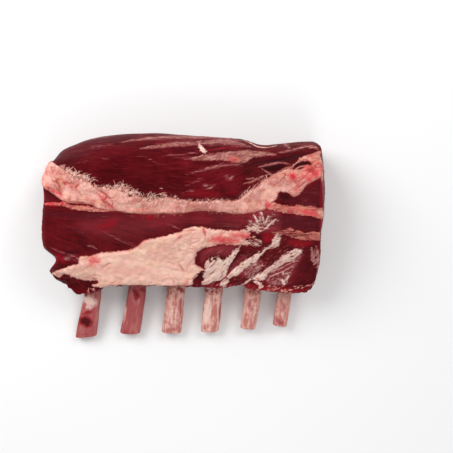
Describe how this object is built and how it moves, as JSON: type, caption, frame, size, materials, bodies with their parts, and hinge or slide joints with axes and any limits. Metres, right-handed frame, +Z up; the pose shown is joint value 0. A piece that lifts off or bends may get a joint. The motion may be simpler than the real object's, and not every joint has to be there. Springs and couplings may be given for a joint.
{
  "type": "raw beef rib roast",
  "caption": "Raw bone-in rib roast of beef: a crowned block of dark red meat with a fat seam and fat cover, on curved ribs whose scraped ends stand out of its front.",
  "frame": {"origin": "on the table, under the middle of the roast's bounding box", "axes": "+X along the backbone from the narrower cut face to the other, +Y from the bare rib ends towards the backbone side, +Z up"},
  "size_m": [0.379, 0.2814, 0.1081],
  "materials": {
    "meat": "moist raw beef: dark red muscle with fine grain, pale marbling and silverskin, a soft wet gloss",
    "fat": "raw beef fat: pink-white, satin, a little translucent, with pink and red patches",
    "bone": "scraped rib bone: pinkish cream with rose streaks and shreds of membrane, satin"
  },
  "bodies": {
    "root": {"meat": "meat", "fat_seam": "fat", "fat_cover": "fat", "rib_1": "bone", "rib_2": "bone", "rib_3": "bone", "rib_4": "bone", "rib_5": "bone", "rib_6": "bone"}
  },
  "joints": []
}
